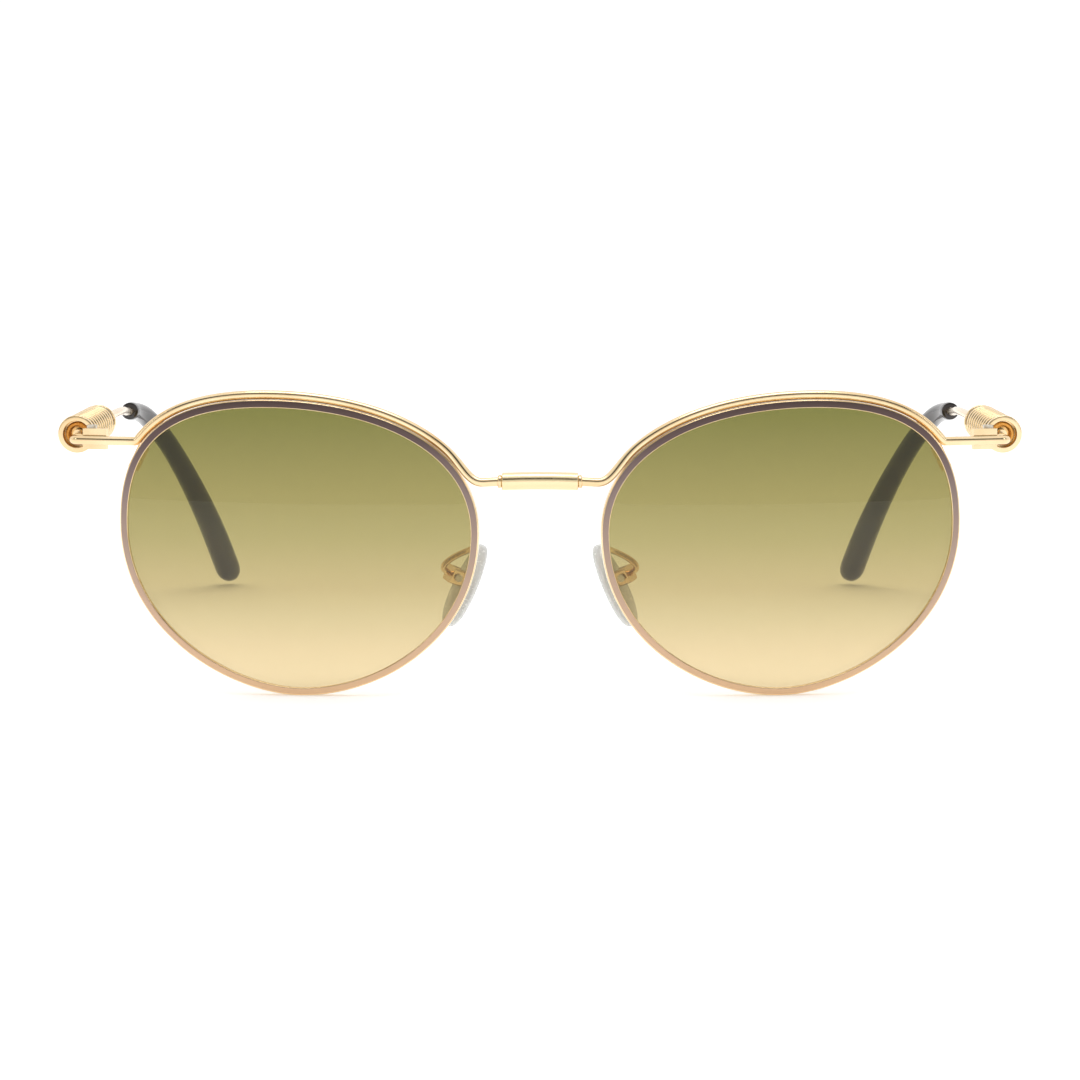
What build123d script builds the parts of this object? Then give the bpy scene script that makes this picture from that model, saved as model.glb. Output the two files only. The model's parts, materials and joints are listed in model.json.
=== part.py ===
from build123d import *

import os
from math import cos, radians, sin, sqrt, tan

# Oval wire sunglasses, standing open on a table on the bottoms of the rims and the two ear tips.
# +X is to the wearer's left, +Y runs back along the temples, +Z is up.
# The origin is on the table, in the middle of the footprint. All sizes are in millimetres.
# Every paired piece is made on the +X side and mirrored to the -X side.

# ---- driving sizes of the front ---------------------------------------------------------------
rim_width = 52.2  # outside of the eyewire
bridge_gap = 17.8  # between the two rims
rim_height = 42.8
rim_wall = 1.15  # eyewire, as seen from the front
rim_proud = 0.35  # eyewire in front of the lens surface
rim_behind = 1.55  # eyewire behind the lens surface
crown_shift = 4.5  # highest point of the rim, outboard of the lens centre
foot_shift = -0.4  # lowest point of the rim
outer_rise = 3.5  # outermost point of the rim, above the lens centre
inner_rise = 2.3  # innermost point of the rim
lens_thickness = 1.8
base_radius = 132.0  # a four-base lens
wrap = 5.0  # each lens turned back at its outer side, in degrees
groove_depth = 0.45
groove_width = 0.7
groove_set_back = 0.35  # groove behind the lens surface
lens_clearance = 0.05

bar_dia = 1.3  # brow wire
joint_share = 0.38  # where it leaves the rim, along the outer upper quarter, from the outer end
bar_drop = 0.75  # its outer ends, below that place
joint_run = 1.0  # outboard of that place
bar_set_back = 0.5  # brow wire behind the lens surface
solder_gap = 0.03  # between pieces that are soldered together
bar_lead_angle = 14.0  # outer ends run back at this angle, in degrees
bar_overhang = 7.4  # ends of the brow wire, outboard of the rim
hook_radius = 1.25
hook_tail = 0.75

bridge_share = 0.33  # where it leaves the rim, along the inner upper quarter, from the inner end
bridge_drop = 4.7  # straight part of the brow wire, below that place
bridge_y = -0.4  # from the plane of the lens fronts
bridge_lead = 0.6  # straight part ends short of the rim
bridge_arch = 0.25
sleeve_dia = 2.55
sleeve_length = 12.1
sleeve_clearance = 0.02
collar_dia = 1.9
collar_length = 0.6

# ---- driving sizes of the hinge and its spring barrel -------------------------------------------
pin_set_in = 3.2  # hinge pin, inboard of the end of the brow wire
knuckle_height = 3.0
hinge_lift = 0.5  # middle of the hinge, above the brow wire
knuckle_radius = 0.8
pin_radius = 0.45
pin_clearance = 0.04
knuckle_gap = 0.05
leaf_length = 3.6
leaf_thickness = 0.8
screw_head_radius = 0.78
screw_head_height = 0.4
small_head_share = 1.6  # heads of the lock and pad screws, as a share of their shanks

barrel_out = 2.5  # middle of the barrel's mouth, outboard of the pin
barrel_back = 1.6  # and behind it
barrel_lift = 0.4  # and above the middle of the hinge
barrel_inward = 4.6  # degrees
barrel_upward = 1.9  # degrees
flange_radius = 2.76
flange_thickness = 1.0
tube_radius = 1.8
tube_length = 15.6
chamber_radius = 1.42
mouth_radius = 2.2
mouth_depth = 2.2
web_thickness = 0.8
coil_wire = 0.9
coil_turns = 9.5
coil_end_gap = 0.1
coil_fit = 0.03  # coil clear of the tube

shank_radius = 0.6
shank_clearance = 0.08
spring_wire = 0.34
spring_radius = 1.02
spring_turns = 8
spring_end_gap = 0.03
nut_radius = 1.3
nut_length = 1.1
nut_front = 11.2  # along the barrel, from its mouth

ferrule_radius = 2.6
ferrule_flange = 0.8
ferrule_nose = 2.8
ferrule_plug = 2.0
ferrule_fit = 0.02
ferrule_lip = 0.25  # wall at the end of the nose

# ---- driving sizes of the temple and ear tip -----------------------------------------------------
rod_dia = 1.3
rod_fit = 0.02
rod_lead = 12.0  # nearly straight run before the ear tip
rod_seat = 0.8  # share of the ear tip that the rod runs in
temple_length = 131.0  # from the plane of the lens fronts to the back of the ear tip
tip_drop_length = 43.0  # part of that which the ear tip covers
tip_spread = 0.5  # mouth of the ear tip, outboard of the end of the brow wire
tip_turn_in = 13.2  # end of the ear tip, inboard of its mouth
temple_fall = 2.1  # mouth of the ear tip, below the middle of the hinge
tip_mouth = 2.9  # diameters of the ear tip
tip_bend = 3.4
tip_end = 4.4
tip_end_thickness = 3.3
# middle of the ear tip, as shares of its run back, its drop and its turn inward
tip_course = ((0.22, 0.05, 0.13), (0.42, 0.24, 0.40), (0.70, 0.60, 0.74))
tip_end_course = (0.72, 0.64, 0.80)  # the end points away from here

# ---- driving sizes of the nose pads --------------------------------------------------------------
pad_out = 1.7  # middle of the pad, level with its box, outboard of the inner side of the rim
pad_back = 10.2  # behind the plane of the lens fronts
pad_drop = 5.6  # below the lens centre
pad_slip = 0.9  # middle of the pad, below its box along the pad
pad_length = 13.0
pad_width = 7.4
pad_thickness = 2.2
pad_edge_round = 0.8
pad_frontal = 24.8  # degrees
pad_splay = 30.0
box_size = 2.4
box_width = 2.6
box_depth = 1.9
box_gap = 0.35  # between the pad and its box
box_wall = 0.25  # floor of the box
tab_width = 1.1
tab_length = 1.9
tab_foot = 0.54  # end of the tab, beyond the middle of the pad screw
tab_clearance = 0.06
pad_screw_radius = 0.35
pad_screw_clearance = 0.04
arm_dia = 0.9
arm_share = 0.05  # foot of the pad arm, along the inner lower quarter of the rim, from its side
arm_lead = 2.2  # straight back from the rim
arm_reach = 1.6  # its bend, beyond the back of the box
arm_rise = 1.2  # and above it

# ---- driving sizes of the rim lock ---------------------------------------------------------------
lock_share = 0.30  # place of the lock along the outer upper quarter of the rim, from its outer end
lock_length = 3.6  # both halves together
lock_width = 1.5
lock_depth = 1.8
lock_gap = 0.2
lock_screw_radius = 0.3
lock_screw_clearance = 0.04

# ---- places worked out from them -----------------------------------------------------------------
lens_pitch = rim_width + bridge_gap
bar_reach = (lens_pitch + rim_width) / 2 + bar_overhang
lens_z = rim_height / 2  # the rims stand on the table
bar_radius = bar_dia / 2
bridge_front = bridge_y - sleeve_dia / 2
front_y = -(temple_length + bridge_front) / 2  # plane of the lens fronts, with the footprint centred

os.makedirs("parts", exist_ok=True)


def at(x, y, z):
    """A point, with y measured back from the plane of the lens fronts."""
    return Vector(x, front_y + y, z)


def save(name, part):
    part.label = name
    export_step(part, f"parts/{name}.step")


def save_pair(name, part):
    """Export a piece made on the +X side, and its mirror image."""
    save(f"{name}_left", part)
    save(f"{name}_right", mirror(part, about=Plane.YZ))


def rod_along(path, radius, bore=0.0):
    """A round wire along a path, or a tube where it has a bore."""
    with BuildPart() as rod:
        with BuildSketch(Plane(origin=path @ 0, z_dir=path % 0)):
            Circle(radius)
            if bore:
                Circle(bore, mode=Mode.SUBTRACT)
        sweep(path=path)
    return rod.part


def turned(frame, *stations):
    """A round piece on the z axis of a plane, given as (radius, z) corners of its half section."""
    with BuildPart() as piece:
        with BuildSketch(Plane(frame.origin, x_dir=frame.x_dir, z_dir=-frame.y_dir)):
            with BuildLine():
                Polyline(*stations, close=True)
            make_face()
        revolve(axis=Axis(frame.origin, frame.z_dir))
    return piece.part


# ---- lens shape ----------------------------------------------------------------------------------
# The lens plane faces forward and a little outward; its x runs outboard and its y runs up.
wrap_angle = radians(wrap)
lens_plane = Plane(
    origin=at(lens_pitch / 2, 0, lens_z),
    x_dir=(cos(wrap_angle), sin(wrap_angle), 0),
    z_dir=(sin(wrap_angle), -cos(wrap_angle), 0),
)
sphere_centre = lens_plane.offset(-base_radius).origin


def rim_quarters(inset):
    """Four curves round the rim, from its sides to its top and bottom, moved in by inset."""
    side = rim_width / 2 - inset
    top = rim_height / 2 - inset
    outer, crown = Vector(side, outer_rise), Vector(crown_shift, top)
    inner, foot = Vector(-side, inner_rise), Vector(foot_shift, -top)
    # each curve's fullness, first up and then across
    quarters = [
        (outer, crown, 0.66, 0.72),
        (inner, crown, 0.64, 0.56),
        (inner, foot, 0.64, 0.46),
        (outer, foot, 0.64, 0.40),
    ]
    curves = []
    for flank, pole, up, across in quarters:
        flank_handle = flank + Vector(0, up * (pole.Y - flank.Y))
        pole_handle = pole + Vector(across * (flank.X - pole.X), 0)
        curves.append([flank, flank_handle, pole_handle, pole])
    return curves


def rim_block(inset):
    """A block of the lens shape that runs right through the curved lens."""
    with BuildPart() as block:
        with BuildSketch(lens_plane):
            with BuildLine():
                for points in rim_quarters(inset):
                    Bezier(*points)
            make_face()
        extrude(amount=rim_width / 4, both=True)
    return block.part


def lens_shell(front, back):
    """The space between two curved surfaces, so far in front of and behind the lens surface."""
    with BuildPart() as shell:
        with Locations(sphere_centre):
            Sphere(base_radius + front)
            Sphere(base_radius - back, mode=Mode.SUBTRACT)
    return shell.part


def lens_piece(inset, front, back):
    """The lens shape, moved in by inset, between two curved surfaces."""
    block, shell = rim_block(inset), lens_shell(front, back)
    with BuildPart() as piece:
        add(block)
        add(shell, mode=Mode.INTERSECT)
    return piece.part


def on_lens(u, w, set_back=0.0):
    """A point on the curved front of the lens, u outboard and w above its centre, or behind it."""
    sag = base_radius - sqrt(base_radius**2 - u**2 - w**2)
    return lens_plane.from_local_coords(Vector(u, w, -sag - set_back))


def rim_frame(quarter, share, side, inset, set_back):
    """A plane on the rim: x along it, z out of the lens surface. side is 1 outboard, -1 inboard."""
    curve = Edge.make_bezier(*rim_quarters(0)[quarter])
    place, along = curve @ share, curve % share
    middle = place - Vector(along.Y, -along.X) * (side * inset)
    origin = on_lens(middle.X, middle.Y, set_back)
    run = lens_plane.x_dir * along.X + lens_plane.y_dir * along.Y
    return Plane(origin=origin, x_dir=run, z_dir=origin - sphere_centre)


outer_upper, inner_upper, inner_lower = 0, 1, 2

# ---- brow wire, bridge sleeve and collars --------------------------------------------------------
wire_off = bar_radius + solder_gap


def beside_rim(quarter, share, side):
    """The middle of the brow wire where it lies along the top of the rim."""
    return rim_frame(quarter, share, side, -wire_off, bar_set_back).origin


lead = radians(bar_lead_angle)
lead_dir = Vector(cos(lead), sin(lead), 0)
joint = beside_rim(outer_upper, joint_share, 1)
bar_z = joint.Z - bar_drop
bar_start = Vector(joint.X + joint_run, joint.Y + joint_run * tan(lead), bar_z)
hook_x = bar_reach - bar_radius
bar_run = hook_x - hook_radius * (1 - sin(lead)) - bar_start.X
bar_end = bar_start + Vector(bar_run, bar_run * tan(lead), 0)
hook_end = Vector(hook_x, bar_end.Y + hook_radius * cos(lead), bar_z)
tail_end = hook_end + Vector(0, hook_tail, 0)

bridge_joint = beside_rim(inner_upper, bridge_share, -1)
bridge_z = bridge_joint.Z - bridge_drop
bridge_half = bridge_gap / 2 - bridge_lead
arch_radius = (bridge_half**2 + bridge_arch**2) / (2 * bridge_arch)


def arch(x_start, x_end):
    """A stretch of the low arch that the brow wire makes over the nose."""
    points = []
    for x in (x_start, (x_start + x_end) / 2, x_end):
        drop = arch_radius - sqrt(arch_radius**2 - x**2)
        points.append(at(x, bridge_y, bridge_z + bridge_arch - drop))
    return Edge.make_three_point_arc(*points)


bridge_arc = arch(-bridge_half, bridge_half)
inner_shares = (bridge_share, 0.38, 0.46, 0.54, 0.62, 0.7, 0.8, 0.9)
outer_shares = (1.0, 0.9, 0.8, 0.7, 0.6, 0.5, 0.44, joint_share)
rim_stations = [beside_rim(inner_upper, share, -1) for share in inner_shares]
rim_stations += [beside_rim(outer_upper, share, 1) for share in outer_shares]
rim_run = Edge.make_spline(rim_stations)


def bend(start, start_dir, start_share, end, end_dir, end_share):
    """A smooth bend between two places on the wire, straighter at an end with a larger share."""
    chord = (end - start).length
    start_handle = start + start_dir * (chord * start_share)
    end_handle = end - end_dir * (chord * end_share)
    return Edge.make_bezier(start, start_handle, end_handle, end)


bridge_bend = bend(bridge_arc @ 1, bridge_arc % 1, 0.25, rim_run @ 0, rim_run % 0, 0.45)
joint_bend = bend(rim_run @ 1, rim_run % 1, 0.4, bar_start, lead_dir, 0.4)
end_hook = Edge.make_tangent_arc(bar_end, lead_dir, hook_end)
bar = Edge.make_line(bar_start, bar_end)
half_path = Wire([bridge_bend, rim_run, joint_bend, bar, end_hook, Edge.make_line(hook_end, tail_end)])
half_wire = rod_along(half_path, bar_radius)
bridge_rod = rod_along(bridge_arc, bar_radius)
with BuildPart() as brow_wire:
    add(bridge_rod)
    add(half_wire)
    mirror(half_wire, about=Plane.YZ)
save("brow_wire", brow_wire.part)

sleeve_bore = bar_radius + sleeve_clearance
sleeve_half = sleeve_length / 2 - collar_length
save("bridge_sleeve", rod_along(arch(-sleeve_half, sleeve_half), sleeve_dia / 2, sleeve_bore))
save_pair("bridge_collar", rod_along(arch(sleeve_half, sleeve_length / 2), collar_dia / 2, sleeve_bore))

# ---- rim, lens and rim lock ----------------------------------------------------------------------
lock_frame = rim_frame(outer_upper, lock_share, 1, rim_wall - lock_width / 2, rim_behind + 2 * solder_gap)
lock_middle = lock_frame.offset(-lock_depth / 2)
half_length = (lock_length - lock_gap) / 2

rim_outside = lens_piece(0, rim_proud, rim_behind)
rim_opening = rim_block(rim_wall)
groove = lens_piece(rim_wall - groove_depth, -groove_set_back, groove_set_back + groove_width)
with BuildPart() as rim:
    add(rim_outside)
    add(rim_opening, mode=Mode.SUBTRACT)
    add(groove, mode=Mode.SUBTRACT)
    with Locations(lock_middle):
        Box(lock_gap, 4 * lock_width, 4 * lock_depth, mode=Mode.SUBTRACT)
save_pair("rim", rim.part)

bevel_edge = rim_wall - groove_depth + lens_clearance
bevel_front = groove_set_back + lens_clearance
bevel_back = groove_set_back + groove_width - lens_clearance
lens_body = lens_piece(rim_wall + lens_clearance, 0, lens_thickness)
bevel = lens_piece(bevel_edge, -bevel_front, bevel_back)
with BuildPart() as lens:
    add(lens_body)
    add(bevel)
save_pair("lens", lens.part)

screw_frame = Plane(lock_middle.origin, x_dir=lock_middle.z_dir, z_dir=lock_middle.x_dir)
for name, place in (("lock_lower", -1), ("lock_upper", 1)):
    with BuildPart() as half_lock:
        with BuildSketch(screw_frame.offset(place * (lock_gap + half_length) / 2)):
            RectangleRounded(lock_depth, lock_width, lock_depth / 6)
            Circle(lock_screw_radius + lock_screw_clearance, mode=Mode.SUBTRACT)
        extrude(amount=half_length / 2, both=True)
    save_pair(name, half_lock.part)

lock_top = lock_length / 2
lock_head = lock_screw_radius * small_head_share
save_pair("lock_screw", turned(
    screw_frame,
    (0, -lock_top), (lock_screw_radius, -lock_top), (lock_screw_radius, lock_top), (lock_head, lock_top),
    (lock_head, lock_top + lock_screw_radius), (0, lock_top + lock_screw_radius),
))

# ---- nose pad, its box, screw and arm ------------------------------------------------------------
frontal, splay = radians(pad_frontal), radians(pad_splay)
pad_up = Vector(-sin(frontal), 0, cos(frontal))
pad_along = Vector(sin(splay), cos(splay), 0)
pad_away = pad_along.cross(pad_up).normalized()  # away from the nose
pad_plane = Plane(at(bridge_gap / 2 + pad_out, pad_back, lens_z - pad_drop), x_dir=pad_up, z_dir=pad_away)
big_radius = pad_width / 2
small_radius = pad_width / 3
box_middle = pad_thickness / 2 + box_gap + box_depth / 2

with BuildPart() as pad:
    with BuildSketch(pad_plane):
        with Locations((big_radius - pad_length / 2 - pad_slip, 0)):
            Circle(big_radius)
        with Locations((pad_length / 2 - small_radius - pad_slip, 0)):
            Circle(small_radius)
        make_hull()
    extrude(amount=pad_thickness / 2, both=True)
    fillet(pad.edges(), pad_edge_round)
    with BuildSketch(pad_plane):
        Rectangle(tab_length, tab_width)
    extrude(amount=box_middle + tab_foot)
    with BuildSketch(Plane(pad_plane.offset(box_middle).origin, x_dir=pad_up, z_dir=pad_plane.y_dir)):
        Circle(pad_screw_radius + pad_screw_clearance)
    extrude(amount=tab_width, both=True, mode=Mode.SUBTRACT)
save_pair("nose_pad", pad.part)

box_plane = pad_plane.offset(box_middle)
pad_screw_frame = Plane(box_plane.origin, x_dir=pad_up, z_dir=pad_plane.y_dir)
with BuildPart() as pad_box:
    with BuildSketch(box_plane):
        RectangleRounded(box_size, box_width, box_size / 6)
    extrude(amount=box_depth / 2, both=True)
    with BuildSketch(box_plane.offset(-box_depth / 2)):
        Rectangle(2 * box_size, tab_width + 2 * tab_clearance)
    extrude(amount=box_depth - box_wall, mode=Mode.SUBTRACT)
    with BuildSketch(pad_screw_frame):
        Circle(pad_screw_radius + pad_screw_clearance)
    extrude(amount=box_width, both=True, mode=Mode.SUBTRACT)
save_pair("pad_box", pad_box.part)

pad_head = pad_screw_radius * small_head_share
save_pair("pad_screw", turned(
    pad_screw_frame,
    (0, -box_width / 2), (pad_screw_radius, -box_width / 2), (pad_screw_radius, box_width / 2),
    (pad_head, box_width / 2), (pad_head, box_width / 2 + pad_screw_radius),
    (0, box_width / 2 + pad_screw_radius),
))

arm_foot = rim_frame(inner_lower, arm_share, -1, rim_wall / 2, rim_behind + solder_gap)
arm_head = box_plane.offset(box_depth / 2 + solder_gap)
arm_back = -arm_foot.z_dir
arm_path = Edge.make_spline(
    [arm_foot.origin, arm_foot.origin + arm_back * arm_lead,
     arm_head.origin + pad_away * arm_reach + Vector(0, 0, arm_rise), arm_head.origin],
    tangents=[arm_back, -pad_away],
)
save_pair("pad_arm", rod_along(arm_path, arm_dia / 2))

# ---- hinge ---------------------------------------------------------------------------------------
# The hinge's own plane lies level, with x along the brow wire's end and its origin on the pin.
pin_x = bar_reach - pin_set_in
leaf_back = knuckle_radius + leaf_thickness
pin_y = bar_start.Y + (pin_x - bar_start.X) * tan(lead) + (bar_radius + solder_gap + leaf_back) / cos(lead)
hinge_z = bar_z + hinge_lift
hinge_plane = Plane((pin_x, pin_y, hinge_z), x_dir=lead_dir, z_dir=(0, 0, 1))
knuckle_share = knuckle_height / 3
pin_bore = pin_radius + pin_clearance

with BuildPart() as front_leaf:
    with BuildSketch(hinge_plane):
        with Locations((knuckle_radius - leaf_length / 2, -knuckle_radius - leaf_thickness / 2)):
            Rectangle(leaf_length, leaf_thickness)
        Circle(knuckle_radius)
        with Locations((0, -knuckle_radius / 2)):
            Rectangle(2 * knuckle_radius, knuckle_radius)
    extrude(amount=knuckle_height / 2, both=True)
    with BuildSketch(hinge_plane):
        Circle(knuckle_radius + knuckle_gap)
        with Locations((0, knuckle_radius / 2)):
            Rectangle(3 * knuckle_radius, knuckle_radius)
    extrude(amount=knuckle_share / 2, both=True, mode=Mode.SUBTRACT)
    with BuildSketch(hinge_plane):
        Circle(pin_bore)
    extrude(amount=knuckle_height, both=True, mode=Mode.SUBTRACT)
save_pair("hinge_front_leaf", front_leaf.part)

pin_top = knuckle_height / 2
save_pair("hinge_screw", turned(
    hinge_plane,
    (0, -pin_top), (pin_radius, -pin_top), (pin_radius, pin_top), (screw_head_radius, pin_top),
    (screw_head_radius, pin_top + screw_head_height), (0, pin_top + screw_head_height),
))

# ---- spring barrel -------------------------------------------------------------------------------
inward, upward = radians(barrel_inward), radians(barrel_upward)
barrel_dir = Vector(-sin(inward) * cos(upward), cos(inward) * cos(upward), sin(upward))
mouth = Vector(pin_x + barrel_out, pin_y + barrel_back, hinge_z + barrel_lift)
barrel_plane = Plane(mouth, x_dir=(1, 0, 0), z_dir=barrel_dir)
web_back = mouth_depth + web_thickness
shank_bore = shank_radius + shank_clearance
nut_back = nut_front + nut_length

save_pair("hinge_barrel", turned(
    barrel_plane,
    (mouth_radius, 0), (flange_radius, 0), (flange_radius, flange_thickness), (tube_radius, flange_thickness),
    (tube_radius, tube_length), (chamber_radius, tube_length), (chamber_radius, web_back),
    (shank_bore, web_back), (shank_bore, mouth_depth),
))

shank_start = shank_radius  # along the barrel, from its mouth
leaf_height = knuckle_share / 2 - knuckle_gap
arm_run = barrel_plane.offset(shank_start).origin - hinge_plane.origin
with BuildPart() as temple_leaf:
    with BuildSketch(hinge_plane):
        Circle(knuckle_radius)
        with BuildLine():
            Line((0, 0), hinge_plane.to_local_coords(hinge_plane.origin + Vector(arm_run.X, arm_run.Y, 0)))
        trace(line_width=2 * shank_radius)
    extrude(amount=leaf_height, both=True)
    with BuildSketch(barrel_plane.offset(shank_start)):
        Circle(shank_radius)
    extrude(amount=nut_back - shank_start + shank_radius / 2)
    with BuildSketch(hinge_plane):
        Circle(pin_bore)
    extrude(amount=knuckle_height, both=True, mode=Mode.SUBTRACT)
save_pair("hinge_temple_leaf", temple_leaf.part)

save_pair("barrel_nut", turned(
    barrel_plane,
    (shank_radius, nut_front), (nut_radius, nut_front), (nut_radius, nut_back), (shank_radius, nut_back),
))


def coil(start, end, radius, wire, turns):
    """A helical spring round the barrel's axis, between two places along it."""
    rise = end - start - wire
    frame = barrel_plane.offset(start + wire / 2)
    helix = frame.location * Edge.make_helix(pitch=rise / turns, height=rise, radius=radius)
    return rod_along(helix, wire / 2)


save_pair("barrel_spring", coil(
    web_back + spring_end_gap, nut_front - spring_end_gap, spring_radius, spring_wire, spring_turns,
))
save_pair("barrel_coil", coil(
    flange_thickness + coil_end_gap, tube_length - coil_end_gap,
    tube_radius + coil_fit + coil_wire / 2, coil_wire, coil_turns,
))

# ---- ferrule, temple rod and ear tip -------------------------------------------------------------
rod_radius = rod_dia / 2
rod_bore = rod_radius + rod_fit
plug_radius = chamber_radius - ferrule_fit
nose_back = tube_length + ferrule_flange + ferrule_nose
save_pair("barrel_ferrule", turned(
    barrel_plane,
    (rod_bore, tube_length - ferrule_plug), (plug_radius, tube_length - ferrule_plug),
    (plug_radius, tube_length + ferrule_fit), (ferrule_radius, tube_length + ferrule_fit),
    (ferrule_radius, tube_length + ferrule_flange), (tube_radius, tube_length + ferrule_flange),
    (rod_radius + ferrule_lip, nose_back), (rod_bore, nose_back),
))

tip_start_y = temple_length - tip_drop_length
tip_mouth_at = at(bar_reach + tip_spread, tip_start_y, hinge_z - temple_fall)
rod_front = barrel_plane.offset(tube_length - ferrule_plug).origin
rod_bend = barrel_plane.offset(nose_back + rod_dia).origin
rod_line = (tip_mouth_at - rod_bend).normalized()
end_half = tip_end_thickness / 2
tip_foot = at(bar_reach + tip_spread - tip_turn_in, temple_length - tip_end * 0.2, end_half / 2)
drop = tip_mouth_at.Z - tip_foot.Z
run_back = tip_foot.Y - tip_mouth_at.Y


def tip_point(back, down, turn):
    """A point of the ear tip, as shares of its run back, its drop and its turn inward."""
    return tip_mouth_at + Vector(-turn * tip_turn_in, back * run_back, -down * drop)


tip_path = Edge.make_spline(
    [tip_mouth_at] + [tip_point(*shares) for shares in tip_course] + [tip_foot],
    tangents=[rod_line, tip_foot - tip_point(*tip_end_course)],
)
rod_path = Wire([
    Edge.make_line(rod_front, rod_bend),
    Edge.make_spline(
        [rod_bend, tip_mouth_at - rod_line * rod_lead, tip_mouth_at],
        tangents=[barrel_dir, rod_line],
    ),
    tip_path.trim(0, rod_seat),
])
save_pair("temple_rod", rod_along(rod_path, rod_radius))

tip_bore = rod_along(tip_path.trim(0, rod_seat + 0.01), rod_bore)
with BuildPart() as tip:
    for share, width, height in (
        (0, tip_mouth, tip_mouth),
        (0.25, tip_bend, tip_bend),
        (0.6, (tip_bend + tip_end) / 2, tip_bend),
        (0.93, tip_end, tip_end_thickness),
        (1, tip_end * 0.7, tip_end_thickness * 0.7),
    ):
        along = tip_path % share
        with BuildSketch(Plane(tip_path @ share, x_dir=Vector(0, 1, 0).cross(along), z_dir=along)):
            Ellipse(width / 2, height / 2)
    loft()
    add(tip_bore, mode=Mode.SUBTRACT)
save_pair("temple_tip", tip.part)
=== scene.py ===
"""Round wire sunglasses: the looks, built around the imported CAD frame.

The glasses stand open on a pale table. Gold plated wire carries two taupe enamelled rims with
graduated lenses; coil-wrapped spring barrels carry thin temples with polished dark ear tips.
"""

from __future__ import annotations

import json
import logging
import math
from collections.abc import Iterable, Sequence
from dataclasses import dataclass, replace
from enum import Enum
from typing import Any

import bmesh
import bpy
from mathutils import Matrix, Vector

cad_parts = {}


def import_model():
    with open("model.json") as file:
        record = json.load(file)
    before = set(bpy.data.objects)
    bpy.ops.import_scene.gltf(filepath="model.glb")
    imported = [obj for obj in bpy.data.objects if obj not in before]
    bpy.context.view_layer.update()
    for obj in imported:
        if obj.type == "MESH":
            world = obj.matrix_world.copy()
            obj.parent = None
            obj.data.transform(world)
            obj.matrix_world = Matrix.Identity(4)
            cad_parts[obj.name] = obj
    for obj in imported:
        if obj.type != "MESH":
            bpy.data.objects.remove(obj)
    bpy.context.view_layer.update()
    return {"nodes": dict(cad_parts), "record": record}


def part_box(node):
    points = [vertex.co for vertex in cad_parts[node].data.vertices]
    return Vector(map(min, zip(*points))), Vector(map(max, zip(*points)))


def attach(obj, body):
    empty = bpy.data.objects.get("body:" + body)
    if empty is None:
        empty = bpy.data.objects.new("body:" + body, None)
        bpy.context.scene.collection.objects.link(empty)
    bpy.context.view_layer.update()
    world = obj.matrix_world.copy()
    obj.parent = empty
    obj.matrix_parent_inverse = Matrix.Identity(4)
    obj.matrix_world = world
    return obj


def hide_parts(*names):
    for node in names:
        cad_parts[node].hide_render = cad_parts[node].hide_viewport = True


log = logging.getLogger("sunglasses")

MM = 0.001
WELD = 1e-7  # Points nearer than this, in metres, are one.
SHARP = math.radians(38)  # Edges that turn more than this stay sharp.
SLIP = 0.02 * MM  # Play between a wire and the bore around it.


class Side(Enum):
    """Which half of the glasses a piece belongs to, as the wearer sees it."""

    LEFT = 1
    RIGHT = -1

    @property
    def label(self) -> str:
        """The word that names the half in node and body names."""
        return self.name.lower()

    @property
    def flip(self) -> Matrix:
        """The transform from the left half, where pieces are modelled, to this half."""
        return Matrix.Scale(self.value, 4, (1, 0, 0))


# ---- materials -----------------------------------------------------------------------------------


def linear(code: str) -> tuple[float, float, float, float]:
    """Turn an sRGB hex colour to linear RGBA.

    Args:
        code: Six hex digits, such as "c9a66b".

    Returns:
        The linear colour with an alpha of 1.
    """
    channels = [int(code[i : i + 2], 16) / 255 for i in (0, 2, 4)]
    lin = [c / 12.92 if c <= 0.04045 else ((c + 0.055) / 1.055) ** 2.4 for c in channels]
    return (lin[0], lin[1], lin[2], 1.0)


def add_node(
    tree: bpy.types.NodeTree,
    kind: str,
    settings: dict[str, Any] | None = None,
    links: dict[str, Any] | None = None,
) -> bpy.types.Node:
    """Add a shader node, set its values and link its inputs.

    Args:
        tree: The node tree that takes the node.
        kind: The node's Blender type name.
        settings: Attributes by name, and input values by "in:NAME".
        links: Output sockets by the name of the input that each feeds.

    Returns:
        The new node.
    """
    node = tree.nodes.new(kind)
    for name, value in (settings or {}).items():
        if name.startswith("in:"):
            node.inputs[name[3:]].default_value = value
        else:
            setattr(node, name, value)
    for name, socket in (links or {}).items():
        tree.links.new(socket, node.inputs[name])
    return node


def new_tree(name: str) -> tuple[bpy.types.Material, bpy.types.NodeTree]:
    """Make an empty node material.

    Args:
        name: The material's name.

    Returns:
        The material and its tree.
    """
    material = bpy.data.materials.new(name)
    material.use_nodes = True
    material.node_tree.nodes.clear()
    return material, material.node_tree


def surface(tree: bpy.types.NodeTree, settings: dict[str, Any], links: dict[str, Any]) -> None:
    """Add the principled shader of a material and its output node.

    Args:
        tree: The material's node tree.
        settings: Input values of the shader by "in:NAME".
        links: Output sockets by the name of the shader's input that each feeds.
    """
    shader = add_node(tree, "ShaderNodeBsdfPrincipled", settings, links)
    add_node(tree, "ShaderNodeOutputMaterial", links={"Surface": shader.outputs["BSDF"]})


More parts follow.
